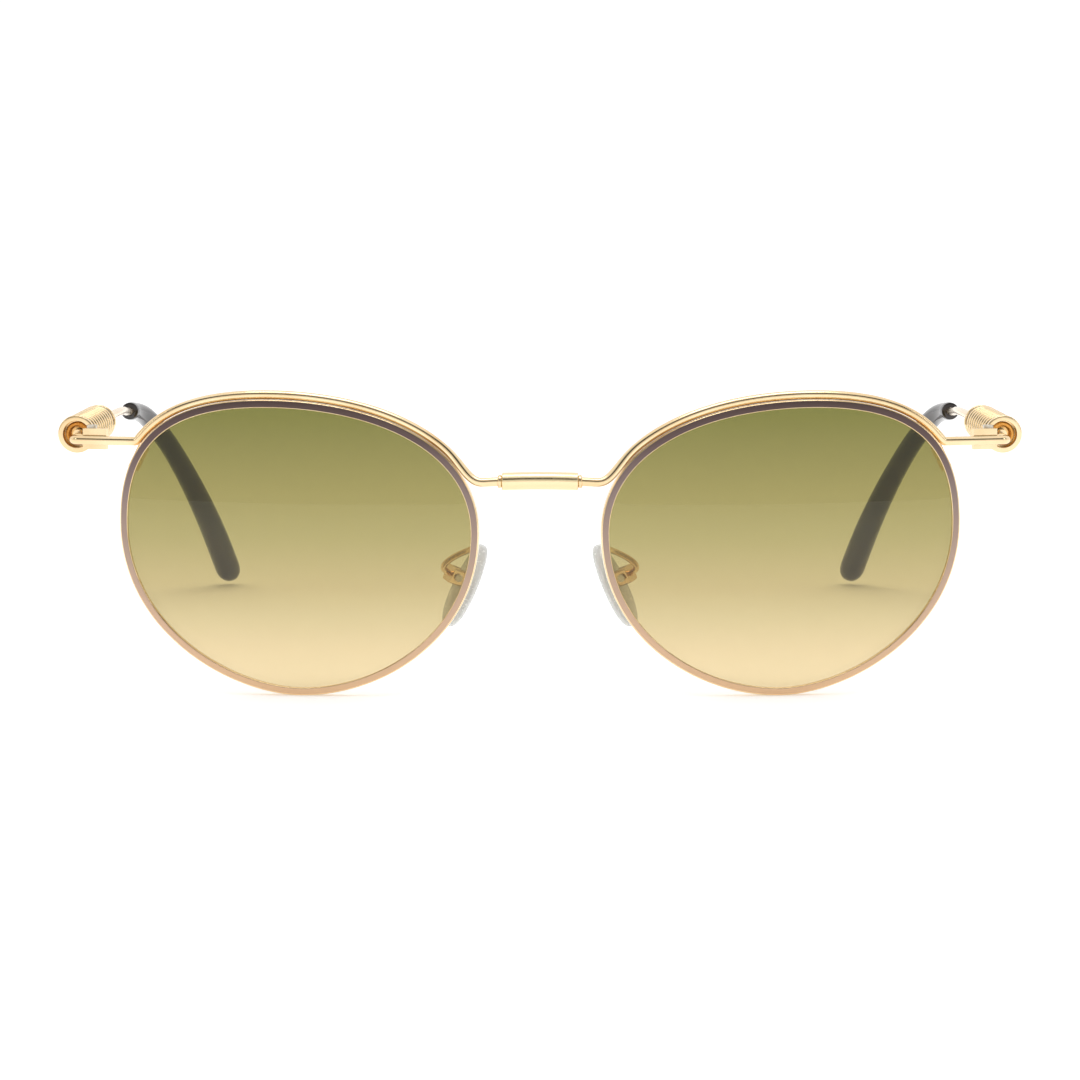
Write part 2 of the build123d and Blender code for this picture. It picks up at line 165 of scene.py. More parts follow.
def colour_ramp(tree: bpy.types.NodeTree, factor: Any, stops: Sequence[tuple[float, str]]) -> Any:
    """Add a colour ramp.

    Args:
        tree: The node tree that takes the ramp.
        factor: The output socket that drives it.
        stops: Positions from 0 to 1 with their sRGB hex colours.

    Returns:
        The ramp's colour socket.
    """
    ramp = add_node(tree, "ShaderNodeValToRGB", links={"Fac": factor})
    elements = ramp.color_ramp.elements
    for element, (place, code) in zip((elements[0], elements[-1]), (stops[0], stops[-1])):
        element.position = place
        element.color = linear(code)
    for place, code in stops[1:-1]:
        elements.new(place).color = linear(code)
    return ramp.outputs["Color"]


def noise(
    tree: bpy.types.NodeTree, place: Any, scale: float, detail: float = 2.0, warp: float = 0.0
) -> Any:
    """Add a noise texture.

    Args:
        tree: The node tree that takes the texture.
        place: The socket that gives the place of a point.
        scale: Grains in a metre.
        detail: How many finer grains lie over it.
        warp: How far it is distorted.

    Returns:
        The texture's factor socket.
    """
    settings = {"in:Scale": scale, "in:Detail": detail, "in:Distortion": warp}
    return add_node(tree, "ShaderNodeTexNoise", settings, {"Vector": place}).outputs["Fac"]


def mapped(tree: bpy.types.NodeTree, value: Any, **ends: float) -> Any:
    """Add a map from one range of values to another.

    Args:
        tree: The node tree that takes the map.
        value: The output socket that drives it.
        **ends: Ends that are not 0 and 1, out of From_Min, From_Max, To_Min and To_Max.

    Returns:
        The map's result socket.
    """
    settings = {f"in:{name.replace('_', ' ')}": end for name, end in ends.items()}
    return add_node(tree, "ShaderNodeMapRange", settings, {"Value": value}).outputs["Result"]


class Guide(Enum):
    """What the colour of a finish follows."""

    GRAIN = "grain"
    HEIGHT = "height"
    CREST = "crest"


@dataclass(frozen=True)
class Look:
    """One finish: its colours, the fine grain that varies its shine, and its shader's values.

    Attributes:
        name: The material's name.
        shades: Colour stops as (share, sRGB hex); a single stop is an even colour.
        rough: Least and most roughness.
        grain: Size of the grain that drives the roughness.
        settings: Input values of the principled shader by "in:NAME".
        guide: What the colour follows. CREST is the mesh attribute of the coil's wire.
        detail: How many finer grains lie over the grain.
        warp: How far the grain is distorted.
        stretch: How much longer the grain is along x than across it.
        relief: Strength and height of the surface relief, if there is any.
        relief_grain: Size of the grain of the relief, if it is not the same grain.
    """

    name: str
    shades: tuple[tuple[float, str], ...]
    rough: tuple[float, float]
    grain: float
    settings: dict[str, Any]
    guide: Guide = Guide.GRAIN
    detail: float = 2.0
    warp: float = 0.0
    stretch: float = 1.0
    relief: tuple[float, float] | None = None
    relief_grain: float | None = None

    def build(self, low: float, high: float) -> bpy.types.Material:
        """Make the material.

        Args:
            low: Height of the foot of the rims, in metres.
            high: Height of their tops.

        Returns:
            The material.
        """
        material, tree = new_tree(self.name)
        place = add_node(tree, "ShaderNodeTexCoord").outputs["Object"]
        if self.stretch != 1:
            longer = {"in:Scale": (1 / self.stretch, 1, 1)}
            place = add_node(tree, "ShaderNodeMapping", longer, {"Vector": place}).outputs["Vector"]
        grain = noise(tree, place, 1 / self.grain, self.detail, self.warp)
        settings = dict(self.settings)
        links = {"Roughness": mapped(tree, grain, To_Min=self.rough[0], To_Max=self.rough[1])}
        if len(self.shades) == 1:
            settings["in:Base Color"] = linear(self.shades[0][1])
        else:
            if self.guide is Guide.HEIGHT:
                height = add_node(tree, "ShaderNodeSeparateXYZ", links={"Vector": place}).outputs["Z"]
                factor = mapped(tree, height, From_Min=low, From_Max=high)
            elif self.guide is Guide.CREST:
                crest = {"attribute_name": Guide.CREST.value}
                factor = add_node(tree, "ShaderNodeAttribute", crest).outputs["Fac"]
            else:
                factor = grain
            links["Base Color"] = colour_ramp(tree, factor, self.shades)
        if self.relief:
            waves = noise(tree, place, 1 / self.relief_grain) if self.relief_grain else grain
            strength, height = self.relief
            relief = {"in:Strength": strength, "in:Distance": height}
            bump = add_node(tree, "ShaderNodeBump", relief, {"Height": waves})
            links["Normal"] = bump.outputs["Normal"]
        surface(tree, settings, links)
        return material


# Polished plating on drawn nickel alloy wire. It mirrors the studio, but the drawn wire under it
# leaves very fine waves that break a highlight up, and handling leaves slightly duller patches.
GOLD_PLATE = Look(
    name="gold_plate_polished",
    shades=((0.40, "f7dfb5"), (0.72, "eccd9e")),
    rough=(0.10, 0.20),
    grain=7 * MM,
    detail=3.0,
    settings={"in:Metallic": 1.0},
    relief=(0.35, 0.004 * MM),
    relief_grain=0.9 * MM,
)

# Plating over a sleeve brushed along its length, which draws highlights out round the sleeve. The
# brushed lines are drawn coarser than real so that they show.
BRUSHED_SLEEVE = Look(
    name="gold_plate_brushed",
    shades=((0.0, "f8e2b6"),),
    rough=(0.14, 0.32),
    grain=0.16 * MM,
    stretch=14.0,
    settings={"in:Metallic": 1.0},
    relief=(0.5, 0.006 * MM),
)

# Plating on wound wire, with painted shade: the wire turns dark brown away from the crests of the
# turns, so the grooves between the turns read as fine dark lines.
WOUND_GOLD_PAINTED_GROOVE_SHADE = Look(
    name="gold_plate_wound_painted_groove_shade",
    shades=((0.0, "6b4a26"), (0.66, "7d592e"), (0.82, "e6c48e"), (1.0, "f9e4bf")),
    guide=Guide.CREST,
    rough=(0.12, 0.26),
    grain=0.6 * MM,
    settings={"in:Metallic": 1.0},
)

# Satin taupe lacquer fired on the eyewire, with fine flecks. Its colour runs from dark taupe at the top
# to gold at the foot, a painted reflection of surroundings that are dark above and light below.
RIM_ENAMEL_PAINTED_REFLECTION = Look(
    name="taupe_enamel_painted_reflection",
    shades=(
        (0.0, "e2bb92"),
        (0.22, "d2ae90"),
        (0.45, "b59a88"),
        (0.68, "94807a"),
        (0.86, "6a5654"),
        (1.0, "5a4642"),
    ),
    guide=Guide.HEIGHT,
    rough=(0.24, 0.42),
    grain=0.25 * MM,
    detail=4.0,
    settings={"in:Metallic": 0.6, "in:Coat Weight": 0.35, "in:Coat Roughness": 0.12},
    relief=(0.3, 0.004 * MM),
)

# Cast CR-39 lens with a dipped tint, olive at the brow and pale amber at the foot. Light crosses two
# faces and each takes the square root of the colour, so a shade is the tint seen through the lens.
# The faces are optically smooth, with a faint unevenness from dipping.
LENS_TINT = Look(
    name="tinted_lens_cr39",
    shades=(
        (0.0, "e0cca1"),
        (0.07, "e0cca1"),
        (0.16, "d7c397"),
        (0.27, "c8b788"),
        (0.37, "b9a876"),
        (0.54, "a49961"),
        (0.7, "968d53"),
        (0.86, "858045"),
        (0.95, "7a7839"),
        (1.0, "7a7839"),
    ),
    guide=Guide.HEIGHT,
    rough=(0.0, 0.012),
    grain=30 * MM,
    detail=1.0,
    settings={"in:Transmission Weight": 1.0, "in:IOR": 1.5},
)

# Clear moulded silicone, slightly milky, with a soft sheen and fine mould texture.
PAD_SILICONE = Look(
    name="clear_silicone_moulded",
    shades=((0.3, "fbfcfa"), (0.8, "f3f5f1")),
    rough=(0.16, 0.34),
    grain=0.35 * MM,
    detail=3.0,
    settings={
        "in:Transmission Weight": 0.3,
        "in:IOR": 1.41,
        "in:Subsurface Weight": 0.7,
        "in:Subsurface Radius": (1, 1, 1),
        "in:Subsurface Scale": 2 * MM,
    },
    relief=(0.15, 0.004 * MM),
)

# Polished cellulose acetate, near black with brown streaks, hand-buffed to a deep gloss.
TIP_ACETATE = Look(
    name="dark_acetate_polished",
    shades=((0.45, "1c1412"), (0.8, "34241d")),
    rough=(0.06, 0.16),
    grain=2.4 * MM,
    detail=4.0,
    warp=0.6,
    settings={"in:IOR": 1.48, "in:Coat Weight": 0.5, "in:Coat Roughness": 0.04},
)

# Stainless screw stock turned on a lathe, with fine tool rings and a dull shine.
TURNED_STEEL = Look(
    name="stainless_turned",
    shades=((0.0, "cfc8bb"),),
    rough=(0.18, 0.36),
    grain=0.12 * MM,
    settings={"in:Metallic": 1.0},
)


@dataclass
class Finishes:
    """All finishes of the glasses, each made once.

    Attributes:
        low: Height of the foot of the rims, in metres.
        high: Height of their tops.
    """

    low: float
    high: float

    def __post_init__(self) -> None:
        """Make each material."""
        self.gold = GOLD_PLATE.build(self.low, self.high)
        self.sleeve = BRUSHED_SLEEVE.build(self.low, self.high)
        self.wound = WOUND_GOLD_PAINTED_GROOVE_SHADE.build(self.low, self.high)
        self.enamel = RIM_ENAMEL_PAINTED_REFLECTION.build(self.low, self.high)
        self.lens = LENS_TINT.build(self.low, self.high)
        self.silicone = PAD_SILICONE.build(self.low, self.high)
        self.acetate = TIP_ACETATE.build(self.low, self.high)
        self.steel = TURNED_STEEL.build(self.low, self.high)


# ---- making meshes -------------------------------------------------------------------------------


def finish_mesh(
    name: str, mesh: bmesh.types.BMesh, place: Matrix, finish: bpy.types.Material
) -> bpy.types.Object:
    """Turn a bmesh into a finished, smooth-shaded object at the origin.

    Args:
        name: The piece's name.
        mesh: The geometry, which is freed.
        place: Transform from the geometry's own axes to the frame.
        finish: Its material.

    Returns:
        The new object.
    """
    bmesh.ops.transform(mesh, matrix=place, verts=mesh.verts)
    bmesh.ops.remove_doubles(mesh, verts=mesh.verts, dist=WELD)
    bmesh.ops.recalc_face_normals(mesh, faces=mesh.faces)
    data = bpy.data.meshes.new(name)
    mesh.to_mesh(data)
    mesh.free()
    data.materials.append(finish)
    piece = bpy.data.objects.new(name, data)
    bpy.context.scene.collection.objects.link(piece)
    data.shade_smooth()
    data.set_sharp_from_angle(angle=SHARP)
    log.info("%s: %d faces", name, len(data.polygons))
    return piece


def skinned(loops: Sequence[Sequence[Vector]], capped: bool) -> bmesh.types.BMesh:
    """Join closed loops in a row with faces, which always come in the same order.

    Args:
        loops: Loops with the same number of points.
        capped: Whether both ends are closed with a face.

    Returns:
        The geometry.
    """
    mesh = bmesh.new()
    rows = [[mesh.verts.new(point) for point in loop] for loop in loops]
    for near, far in zip(rows, rows[1:]):
        for corners in zip(near, near[1:] + near[:1], far[1:] + far[:1], far):
            mesh.faces.new(corners)
    if capped:
        mesh.faces.new(rows[0][::-1])
        mesh.faces.new(rows[-1])
    return mesh


def turned(section: Sequence[tuple[float, float]], steps: int) -> bmesh.types.BMesh:
    """Turn a half section about the z axis.

    Args:
        section: Corners of the section as (radius, z), in metres.
        steps: Segments round the axis.

    Returns:
        The closed geometry.
    """
    loops = []
    for step in range(steps):
        angle = math.tau * step / steps
        x, y = math.cos(angle), math.sin(angle)
        loops.append([Vector((radius * x, radius * y, z)) for radius, z in section])
    return skinned(loops + loops[:1], capped=False)


def divided(
    section: Sequence[tuple[float, float]], places: Sequence[float]
) -> list[tuple[float, float]]:
    """Add a corner to a section wherever one of its sides crosses a place along z.

    Args:
        section: Corners of the section as (radius, z).
        places: The places, from low to high.

    Returns:
        The corners, old and new.
    """
    points: list[tuple[float, float]] = []
    for (radius, z), (next_radius, next_z) in zip(section, [*section[1:], section[0]]):
        points.append((radius, z))
        crossed = [place for place in places if min(z, next_z) < place < max(z, next_z)]
        for place in crossed if next_z > z else crossed[::-1]:
            share = (place - z) / (next_z - z)
            points.append((radius + (next_radius - radius) * share, place))
    return points


def rounded(
    corners: Sequence[tuple[float, float]], radii: Sequence[float], arc: int = 5
) -> list[tuple[float, float]]:
    """Round the corners of a closed section.

    Args:
        corners: Corners of the section.
        radii: Radius at each corner, or 0 for a sharp one.
        arc: Points in each rounded corner.

    Returns:
        The corners of the rounded section.
    """
    points: list[tuple[float, float]] = []
    count = len(corners)
    for i, radius in enumerate(radii):
        here = Vector(corners[i])
        before = (Vector(corners[i - 1]) - here).normalized()
        after = (Vector(corners[(i + 1) % count]) - here).normalized()
        if radius == 0:
            points.append((here.x, here.y))
            continue
        half = before.angle(after) / 2
        reach = radius / math.tan(half)
        start, end = here + before * reach, here + after * reach
        for step in range(arc):
            t = step / (arc - 1)
            point = start * (1 - t) ** 2 + here * (2 * t * (1 - t)) + end * t**2
            points.append((point.x, point.y))
    return points


def tube_mesh(
    points: Iterable[Vector], radius: float, sides: int = 5, steps: int = 12
) -> bmesh.types.BMesh:
    """Make a round wire along a smooth line.

    Args:
        points: Control points of the line.
        radius: The wire's radius.
        sides: Bevel resolution round the wire.
        steps: Divisions between control points.

    Returns:
        The closed geometry.
    """
    curve = bpy.data.curves.new("wire", "CURVE")
    curve.dimensions = "3D"
    curve.bevel_depth = radius
    curve.bevel_resolution = sides
    curve.use_fill_caps = True
    curve.resolution_u = steps
    spline = curve.splines.new("NURBS")
    places = list(points)
    spline.points.add(len(places) - 1)
    for point, place in zip(spline.points, places):
        point.co = (*place, 1)
    spline.order_u = 3
    spline.use_endpoint_u = True
    spline.resolution_u = steps
    holder = bpy.data.objects.new("wire", curve)
    bpy.context.scene.collection.objects.link(holder)
    graph = bpy.context.evaluated_depsgraph_get()
    shape = bpy.data.meshes.new_from_object(holder.evaluated_get(graph))
    mesh = bmesh.new()
    mesh.from_mesh(shape)
    bmesh.ops.remove_doubles(mesh, verts=mesh.verts, dist=WELD)
    bpy.data.objects.remove(holder)
    bpy.data.curves.remove(curve)
    bpy.data.meshes.remove(shape)
    return mesh


def cubic(a: Vector, b: Vector, c: Vector, d: Vector, t: float) -> Vector:
    """The point at share t of a Bezier curve from a to d, with handles b and c."""
    s = 1 - t
    return a * s**3 + b * (3 * s * s * t) + c * (3 * s * t * t) + d * t**3


def settle(piece: bpy.types.Object, body: str, slot: str, *nodes: str) -> None:
    """Give a piece its body and hide the CAD nodes that it stands for.

    Args:
        piece: The finished object.
        body: The CAD body that it rides on.
        slot: The record's material slot; not used.
        *nodes: CAD nodes that it replaces.
    """
    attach(piece, body)
    if nodes:
        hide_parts(*nodes)


# ---- the front -----------------------------------------------------------------------------------


@dataclass
class LensShape:
    """The oval of the lens and the curved surface that it lies on, for the left half.

    Attributes:
        width: Outside width of the rim.
        height: Outside height of the rim.
        gap: Space between the two rims.
        crown: Highest point of the rim, outboard of its middle.
        foot: Lowest point of the rim, outboard of its middle.
        outer_rise: Outermost point of the rim, above its middle.
        inner_rise: Innermost point of the rim, above its middle.
        base: Radius of the lens surface.
        wrap: Turn of the lens plane, in radians.
        front: How far forward the lens surface comes, along -Y, in the frame.
        handles: Handles up and across of the four curves, as shares: upper outer, upper inner, lower
            inner and lower outer.
    """

    front: float
    width: float = 52.2 * MM
    height: float = 42.8 * MM
    gap: float = 17.8 * MM
    crown: float = 4.5 * MM
    foot: float = -0.4 * MM
    outer_rise: float = 3.5 * MM
    inner_rise: float = 2.3 * MM
    base: float = 132 * MM
    wrap: float = math.radians(5)
    handles: tuple[tuple[float, float], ...] = (
        (0.66, 0.72),
        (0.64, 0.56),
        (0.64, 0.46),
        (0.64, 0.40),
    )

    @property
    def pitch(self) -> float:
        """Distance between the lens centres."""
        return self.width + self.gap

    @property
    def place(self) -> Matrix:
        """Transform from the lens plane, x outboard, y up and z forward, to the frame."""
        out = Vector((math.cos(self.wrap), math.sin(self.wrap), 0))
        up = Vector((0, 0, 1))
        forward = out.cross(up)
        turn = Matrix((out, up, forward)).transposed().to_4x4()
        return Matrix.Translation((self.pitch / 2, self.front, self.height / 2)) @ turn

    def quarters(self, inset: float = 0.0) -> list[list[Vector]]:
        """The four curves of the oval.

        Args:
            inset: How far the oval is moved in from the outside of the rim.

        Returns:
            Four lists of a curve's ends and handles, in order round the oval from its outer side.
        """
        side, top = self.width / 2 - inset, self.height / 2 - inset
        outer, crown = Vector((side, self.outer_rise)), Vector((self.crown, top))
        inner, foot = Vector((-side, self.inner_rise)), Vector((self.foot, -top))
        ends = ((outer, crown), (inner, crown), (inner, foot), (outer, foot))
        curves = []
        for (flank, pole), (up, across) in zip(ends, self.handles):
            flank_handle = flank + Vector((0, up * (pole.y - flank.y)))
            pole_handle = pole + Vector((across * (flank.x - pole.x), 0))
            curves.append([flank, flank_handle, pole_handle, pole])
        return [curves[0], curves[1][::-1], curves[2], curves[3][::-1]]

    def outline(self, inset: float = 0.0, steps: int = 40) -> list[Vector]:
        """Points round the oval.

        Args:
            inset: How far the oval is moved in from the outside of the rim.
            steps: Points in each quarter.

        Returns:
            The points, in the lens plane.
        """
        shares = [step / steps for step in range(steps)]
        return [cubic(*curve, share) for curve in self.quarters(inset) for share in shares]

    def sag(self, x: float, y: float) -> float:
        """How far the lens surface falls back at a point of the lens plane."""
        return self.base - math.sqrt(self.base**2 - x * x - y * y)

    def bend(self, mesh: bmesh.types.BMesh) -> None:
        """Lay flat geometry on the lens surface."""
        for vert in mesh.verts:
            vert.co.z -= self.sag(vert.co.x, vert.co.y)


def ring_of(shape: LensShape, section: Sequence[tuple[float, float]]) -> bmesh.types.BMesh:
    """Run a closed section round the oval, on the lens surface.

    Args:
        shape: The oval.
        section: Corners of the section as (inset, height above the lens surface), in metres.

    Returns:
        The closed geometry.
    """
    loops = [[Vector((p.x, p.y, height)) for p in shape.outline(inset)] for inset, height in section]
    mesh = skinned(loops + loops[:1], capped=False)
    shape.bend(mesh)
    return mesh


@dataclass(frozen=True)
class Station:
    """One oval section of a lofted piece.

    Attributes:
        middle: Its middle.
        across: Direction of its width.
        upward: Direction of its height.
        width: Half its width.
        height: Half its height.
    """

    middle: Vector
    across: Vector
    upward: Vector
    width: float
    height: float

    def loop(self, segments: int) -> list[Vector]:
        """Points round the section."""
        angles = [math.tau * step / segments for step in range(segments)]
        wide, high = self.across * self.width, self.upward * self.height
        return [self.middle + wide * math.cos(angle) + high * math.sin(angle) for angle in angles]


def lofted(stations: Sequence[Station], segments: int = 40) -> bmesh.types.BMesh:
    """Skin a row of oval sections and close both ends.

    Args:
        stations: The sections, in order.
        segments: Points round each section.

    Returns:
        The closed geometry.
    """
    return skinned([station.loop(segments) for station in stations], capped=True)


@dataclass
class Front:
    """Rims, lenses, brow wire and bridge sleeve.

    Attributes:
        shape: The lens oval.
        finishes: The materials.
        wall: Width of the eyewire as seen from the front.
        proud: Eyewire in front of the lens surface.
        behind: Eyewire behind the lens surface.
        enamel_proud: How far the enamel stands over the metal.
        enamel_edge: Bare metal left on the outer side of the enamel.
        enamel_lip: Bare metal left on its inner side.
        enamel_depth: How far the enamel reaches down the front of the eyewire.
        lens_thickness: Thickness of the lens.
        lens_seat: How far the lens goes into the eyewire.
        wire: Radius of the brow wire.
        solder: Gap filled by solder.
        wire_back: Brow wire behind the lens surface.
        joint_x: Where the wire leaves the rim outboard, in the lens plane.
        joint_drop: Wire's outer ends below that place.
        joint_run: Start of the straight bar outboard of that place.
        bridge_x: Where the wire leaves the rim inboard, in the lens plane.
        bridge_y: Bridge in front of the lens fronts.
        bridge_lead: Straight bridge ends short of the rim.
        bridge_ease: Straightness of the bends beside the bridge, at the arch and at the rim.
        joint_ease: Straightness of the bends outboard of the rims, at both ends.
        arch: Rise of the bridge at its middle.
        lead: Angle at which the outer ends run back.
        overhang: Outer ends beyond the rim.
        hook: Radius of the end hooks.
        tail: Length of the hooks' tails.
        sleeve: Radius of the bridge sleeve.
        sleeve_half: Half its length, without the collars.
        collar: Radius of its end collars.
        collar_length: Length of each collar.
    """

    shape: LensShape
    finishes: Finishes
    wall: float = 1.15 * MM
    proud: float = 0.35 * MM
    behind: float = 1.55 * MM
    enamel_proud: float = 0.04 * MM
    enamel_edge: float = 0.17 * MM
    enamel_lip: float = 0.102 * MM
    enamel_depth: float = 0.3 * MM
    lens_thickness: float = 1.8 * MM
    lens_seat: float = 0.03 * MM
    wire: float = 0.65 * MM
    solder: float = 0.03 * MM
    wire_back: float = 0.5 * MM
    joint_x: float = 23.35 * MM
    joint_drop: float = 0.75 * MM
    joint_run: float = 1.0 * MM
    bridge_x: float = -21.2 * MM
    bridge_y: float = -0.4 * MM
    bridge_lead: float = 0.6 * MM
    bridge_ease: tuple[float, float] = (0.25, 0.45)
    joint_ease: float = 0.4
    arch: float = 0.25 * MM
    lead: float = math.radians(14)
    overhang: float = 7.4 * MM
    hook: float = 1.25 * MM
    tail: float = 0.75 * MM
    sleeve: float = 1.275 * MM
    sleeve_half: float = 5.45 * MM
    collar: float = 0.95 * MM
    collar_length: float = 0.6 * MM

    def build(self) -> None:
        """Make every piece of the front."""
        for side in Side:
            self.rim(side)
            self.lens(side)
            self.bridge_collar(side)
        self.brow_wire()
        self.bridge_sleeve()

    def rim(self, side: Side) -> None:
        """Make one eyewire with its enamelled front band."""
        place = side.flip @ self.shape.place
        top = self.proud - self.enamel_proud
        corners = [(0, top), (self.wall, top), (self.wall, -self.behind), (0, -self.behind)]
        round_edge = 0.2 * MM
        metal = ring_of(self.shape, rounded(corners, [round_edge] * 4))
        piece = finish_mesh(f"eyewire_{side.label}", metal, place, self.finishes.gold)
        settle(piece, "front", "gold_plate", f"rim_{side.label}")
        near, far = self.enamel_edge, self.wall - self.enamel_lip
        low = self.proud - self.enamel_depth
        band = [(near, self.proud), (far, self.proud), (far, low), (near, low)]
        soft = 0.1 * MM
        enamel = ring_of(self.shape, rounded(band, [soft, soft, 0, 0]))
        piece = finish_mesh(f"eyewire_enamel_{side.label}", enamel, place, self.finishes.enamel)
        settle(piece, "front", "rim_enamel")

    def lens(self, side: Side) -> None:
        """Make one curved lens, let a little way into its eyewire."""
        edge = self.shape.outline(self.wall - self.lens_seat)
        rings, middle = 14, 0.1
        shares = [(ring + middle) / (rings + middle) for ring in range(rings + 1)]
        front = [[Vector((p.x * share, p.y * share, 0)) for p in edge] for share in shares]
        behind = Vector((0, 0, self.lens_thickness))
        back = [[point - behind for point in loop] for loop in front[::-1]]
        mesh = skinned(front + back, capped=True)
        self.shape.bend(mesh)
        place = side.flip @ self.shape.place
        piece = finish_mesh(f"sun_lens_{side.label}", mesh, place, self.finishes.lens)
        settle(piece, "front", "gradient_lens", f"lens_{side.label}")

    def wire_path(self) -> list[Vector]:
        """Points along the left half of the brow wire, from the middle of the bridge to its end."""
        shape = self.shape
        beside = shape.outline(-self.wire - self.solder)
        upper = beside[: len(beside) // 2][::-1]
        run = [
            shape.place @ Vector((p.x, p.y, -shape.sag(p.x, p.y) - self.wire_back))
            for p in upper
            if self.bridge_x <= p.x <= self.joint_x
        ]
        half = shape.gap / 2 - self.bridge_lead
        bridge_y, bridge_z = shape.front + self.bridge_y, self.bridge_height
        count = 8
        places = [half * step / count for step in range(count + 1)]
        arch = [Vector((x, bridge_y, bridge_z + self.arch_rise(x))) for x in places]
        joint = run[-1]
        slope = math.tan(self.lead)
        start = joint + Vector((self.joint_run, self.joint_run * slope, -self.joint_drop))
        reach = shape.pitch / 2 + shape.width / 2 + self.overhang - self.wire
        length = reach - self.hook * (1 - math.sin(self.lead)) - start.x
        stop = start + Vector((length, length * slope, 0))
        centre = stop + Vector((-math.sin(self.lead), math.cos(self.lead), 0)) * self.hook
        hook = []
        for step in range(1, count + 1):
            angle = self.lead - math.pi / 2 + (math.pi / 2 - self.lead) * step / count
            hook.append(centre + Vector((math.cos(angle), math.sin(angle), 0)) * self.hook)
        spans = 6
        bar = [start.lerp(stop, step / spans) for step in range(spans + 1)]
        leave = (run[1] - run[0]).normalized()
        arrive = (run[-1] - run[-2]).normalized()
        level = (arch[-1] - arch[-2]).normalized()
        outward = Vector((math.cos(self.lead), math.sin(self.lead), 0))
        near, far = self.bridge_ease
        path = arch + bend_points(arch[-1], level, near, run[0], leave, far) + run
        ease = self.joint_ease
        path += bend_points(joint, arrive, ease, start, outward, ease) + bar + hook
        path.append(hook[-1] + Vector((0, self.tail, 0)))
        return path

    @property
    def bridge_height(self) -> float:
        """Height of the ends of the bridge's arch."""
        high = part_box("bridge_sleeve")[1][2]
        return high - self.sleeve - self.arch

    def brow_wire(self) -> None:
        """Make the one wire that carries both rims and ends in the hinge hooks."""
        half = self.wire_path()
        mirrored = [Vector((-p.x, p.y, p.z)) for p in half[:0:-1]]
        mesh = tube_mesh(mirrored + half, self.wire, sides=6, steps=2)
        piece = finish_mesh("brow_wire_drawn", mesh, Matrix.Identity(4), self.finishes.gold)
        settle(piece, "front", "gold_plate", "brow_wire")

    def arch_rise(self, x: float) -> float:
        """Rise of the bridge over its ends, at a distance from its middle."""
        half = self.shape.gap / 2 - self.bridge_lead
        radius = (half**2 + self.arch**2) / (2 * self.arch)
        return self.arch - radius + math.sqrt(radius**2 - x * x)

    @property
    def bridge_place(self) -> Matrix:
        """Transform from the middle of the bridge to the frame."""
        return Matrix.Translation((0, self.shape.front + self.bridge_y, self.bridge_height))

    def along_bridge(self, section: list[tuple[float, float]]) -> bmesh.types.BMesh:
        """Spin a section about the bridge and lay it on the arch."""
        lengths = 12
        places = [self.sleeve_half * (2 * cut / lengths - 1) for cut in range(1, lengths)]
        mesh = turned(divided(section, places), 64)
        bmesh.ops.rotate(mesh, verts=mesh.verts, matrix=Matrix.Rotation(math.pi / 2, 3, "Y"))
        for vert in mesh.verts:
            vert.co.z += self.arch_rise(vert.co.x)
        return mesh

    def bridge_sleeve(self) -> None:
        """Make the brushed sleeve over the middle of the bridge."""
        bore, half = self.wire + SLIP, self.sleeve_half
        corners = [(bore, -half), (self.sleeve, -half), (self.sleeve, half), (bore, half)]
        mesh = self.along_bridge(rounded(corners, [0, 0.16 * MM, 0.16 * MM, 0]))
        piece = finish_mesh("bridge_sleeve_brushed", mesh, self.bridge_place, self.finishes.sleeve)
        settle(piece, "front", "gold_plate", "bridge_sleeve")

    def bridge_collar(self, side: Side) -> None:
        """Make the bead that closes one end of the sleeve."""
        bore, near = self.wire + SLIP, self.sleeve_half
        far = near + self.collar_length
        corners = [(bore, near), (self.collar, near), (self.collar, far), (bore, far)]
        bead = self.collar_length * 0.42
        mesh = self.along_bridge(rounded(corners, [0, bead, bead, 0]))
        place = side.flip @ self.bridge_place
        piece = finish_mesh(f"sleeve_collar_{side.label}", mesh, place, self.finishes.gold)
        settle(piece, "front", "gold_plate", f"bridge_collar_{side.label}")


def bend_points(
    start: Vector, start_dir: Vector, start_share: float, end: Vector, end_dir: Vector, end_share: float
) -> list[Vector]:
    """Points along a smooth bend, without its two ends.

    Args:
        start: Where the bend starts.
        start_dir: Its direction there.
        start_share: Its straightness there, as a share of the chord.
        end: Where it ends.
        end_dir: Its direction there.
        end_share: Its straightness there.

    Returns:
        The points.
    """
    chord = (end - start).length
    a, b = start + start_dir * chord * start_share, end - end_dir * chord * end_share
    count = 10
    return [cubic(start, a, b, end, step / count) for step in range(1, count)]


